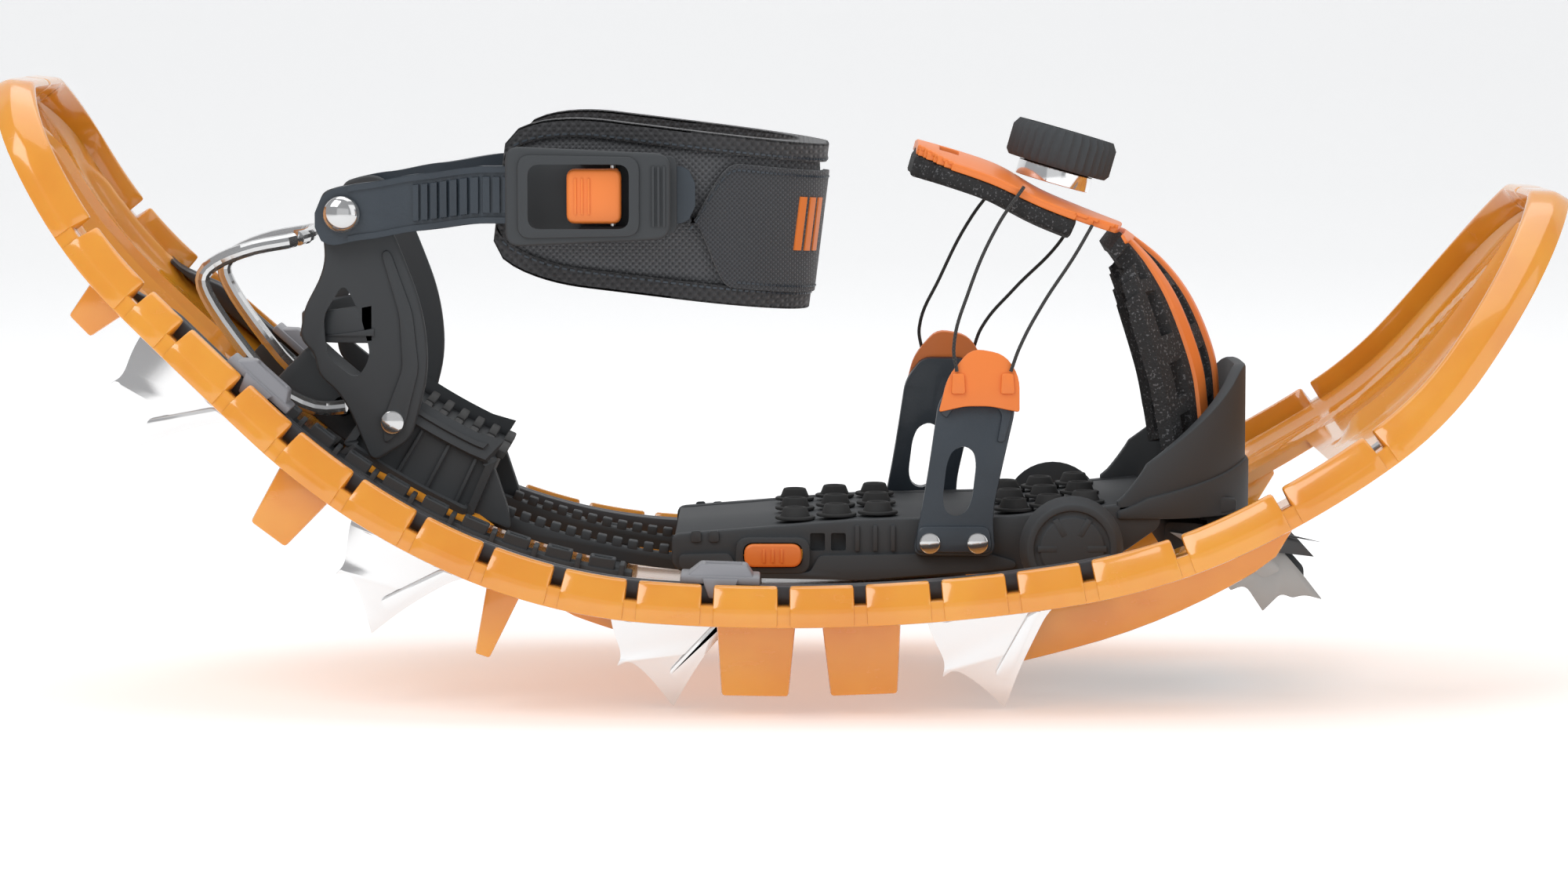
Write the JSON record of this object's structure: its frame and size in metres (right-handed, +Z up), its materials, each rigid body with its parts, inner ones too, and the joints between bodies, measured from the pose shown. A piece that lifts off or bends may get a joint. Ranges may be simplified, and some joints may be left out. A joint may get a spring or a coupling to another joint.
{
  "type": "snowshoe with crampon blades",
  "caption": "Flexible snowshoe deck with steel crampon blades, a hinged boot binding, a dial-laced toe tongue and a ratchet instep strap.",
  "frame": {"origin": "centre of the bounding box in X and Y, on the ground plane that the middle blade tips touch", "axes": "+X to the nose, +Y to the wearer's outer side, +Z up"},
  "size_m": [0.5328, 0.21, 0.2092],
  "materials": {
    "deck_orange": "glossy moulded",
    "rod_black": "satin",
    "frame_black": "satin",
    "clip_grey": "satin",
    "blade_steel": "polished",
    "bright_steel": "polished",
    "panel_grey": "printed",
    "binding_black": "satin moulded",
    "spindle_chrome": "bright",
    "tread_rubber": "matt",
    "strap_plastic": "satin flexible",
    "trim_orange": "satin",
    "claw_steel": "worn",
    "foam_black": "speckled foam",
    "pad_fabric": "woven",
    "lace_cord": "braided"
  },
  "bodies": {
    "deck": {"deck_tail": "deck_orange", "deck_heel": "deck_orange", "deck_toe": "deck_orange", "deck_nose": "deck_orange", "lip_right": "deck_orange", "lip_left": "deck_orange", "end_lips": "deck_orange", "deck_lugs": "deck_orange", "pivot_walls": "deck_orange", "rod_right": "rod_black", "rod_left": "rod_black", "tail_subframe": "frame_black", "heel_rest": "deck_orange", "rear_clips": "clip_grey", "front_clips": "clip_grey", "blade_pair_1": "blade_steel", "blade_pair_2": "blade_steel", "blade_pair_3": "blade_steel", "blade_pair_4": "blade_steel", "blade_screws": "bright_steel", "nose_panel": "panel_grey", "pivot_pins": "bright_steel", "hub_caps": "binding_black"},
    "binding": {"toe_plate": "binding_black", "traction_pads": "tread_rubber", "toe_cup": "binding_black", "wing_right": "strap_plastic", "wing_left": "strap_plastic", "wing_cap_right": "trim_orange", "wing_cap_left": "trim_orange", "wing_rivets": "bright_steel", "claw_carrier": "binding_black", "front_claw": "claw_steel", "lace_near_rear": "lace_cord", "lace_near_front": "lace_cord", "lace_far_rear": "lace_cord", "lace_far_front": "lace_cord"},
    "size_button": {"size_button": "trim_orange"},
    "heel_carriage": {"heel_block": "binding_black", "heel_tread": "tread_rubber", "rail_right": "binding_black", "rail_left": "binding_black", "heel_cup": "binding_black", "cup_rivets": "bright_steel", "strap_rivets": "bright_steel"},
    "heel_lift": {"lift_bail": "bright_steel"},
    "instep_strap": {"ladder_strap": "strap_plastic", "far_strap": "strap_plastic", "instep_pad": "pad_fabric", "buckle_base": "binding_black", "lever_pin": "bright_steel", "tab_pin": "bright_steel"},
    "buckle_lever": {"buckle_lever": "binding_black"},
    "release_tab": {"release_tab": "trim_orange"},
    "tongue": {"tongue_shell": "trim_orange", "tongue_foam": "foam_black", "top_plate": "trim_orange", "top_foam": "foam_black"},
    "dial_spindle": {"dial_spindle": "spindle_chrome"},
    "dial_knob": {"dial_knob": "binding_black"}
  },
  "joints": [
    {"name": "binding_pivot", "type": "hinge", "parent": "deck", "child": "binding", "pos_m": [0.09576, 0, 0.05229], "axis": [0, 1, 0], "range_deg": [0, 30]},
    {"name": "size_button_press", "type": "slide", "parent": "binding", "child": "size_button", "axis": [0, 1, 0], "range_m": [0, 0.003], "stiffness_N_per_m": 400},
    {"name": "heel_size_slide", "type": "hinge", "parent": "binding", "child": "heel_carriage", "pos_m": [-0.01513, 0, 0.2668], "axis": [0, 1, 0], "range_deg": [-2.4, 2.4]},
    {"name": "heel_lift_pivot", "type": "hinge", "parent": "heel_carriage", "child": "heel_lift", "pos_m": [-0.14932, 0, 0.09692], "axis": [0, -1, 0], "range_deg": [0, 6]},
    {"name": "instep_strap_pivot", "type": "hinge", "parent": "heel_carriage", "child": "instep_strap", "pos_m": [-0.14732, 0, 0.16292], "axis": [0, -1, 0], "range_deg": [-16, 60]},
    {"name": "buckle_lever_hinge", "type": "hinge", "parent": "instep_strap", "child": "buckle_lever", "pos_m": [-0.04132, -0.0661, 0.16992], "axis": [0, 0, 1], "range_deg": [0, 70]},
    {"name": "release_tab_hinge", "type": "hinge", "parent": "instep_strap", "child": "release_tab", "pos_m": [-0.05632, -0.0653, 0.16992], "axis": [0, 0, 1], "range_deg": [0, 10], "stiffness_Nm_per_rad": 0.05},
    {"name": "tongue_flex", "type": "hinge", "parent": "binding", "child": "tongue", "pos_m": [0.14976, 0, 0.08229], "axis": [0, 1, 0], "range_deg": [-5, 5], "stiffness_Nm_per_rad": 6, "deforming": ["lace_near_rear", "lace_near_front", "lace_far_rear", "lace_far_front"]},
    {"name": "dial_pull", "type": "slide", "parent": "tongue", "child": "dial_spindle", "axis": [0.2756, 0, 0.9613], "range_m": [0, 0.003]},
    {"name": "dial_turn", "type": "hinge", "parent": "dial_spindle", "child": "dial_knob", "pos_m": [0.09126, 0, 0.16979], "axis": [0.2756, 0, 0.9613], "continuous": true}
  ]
}
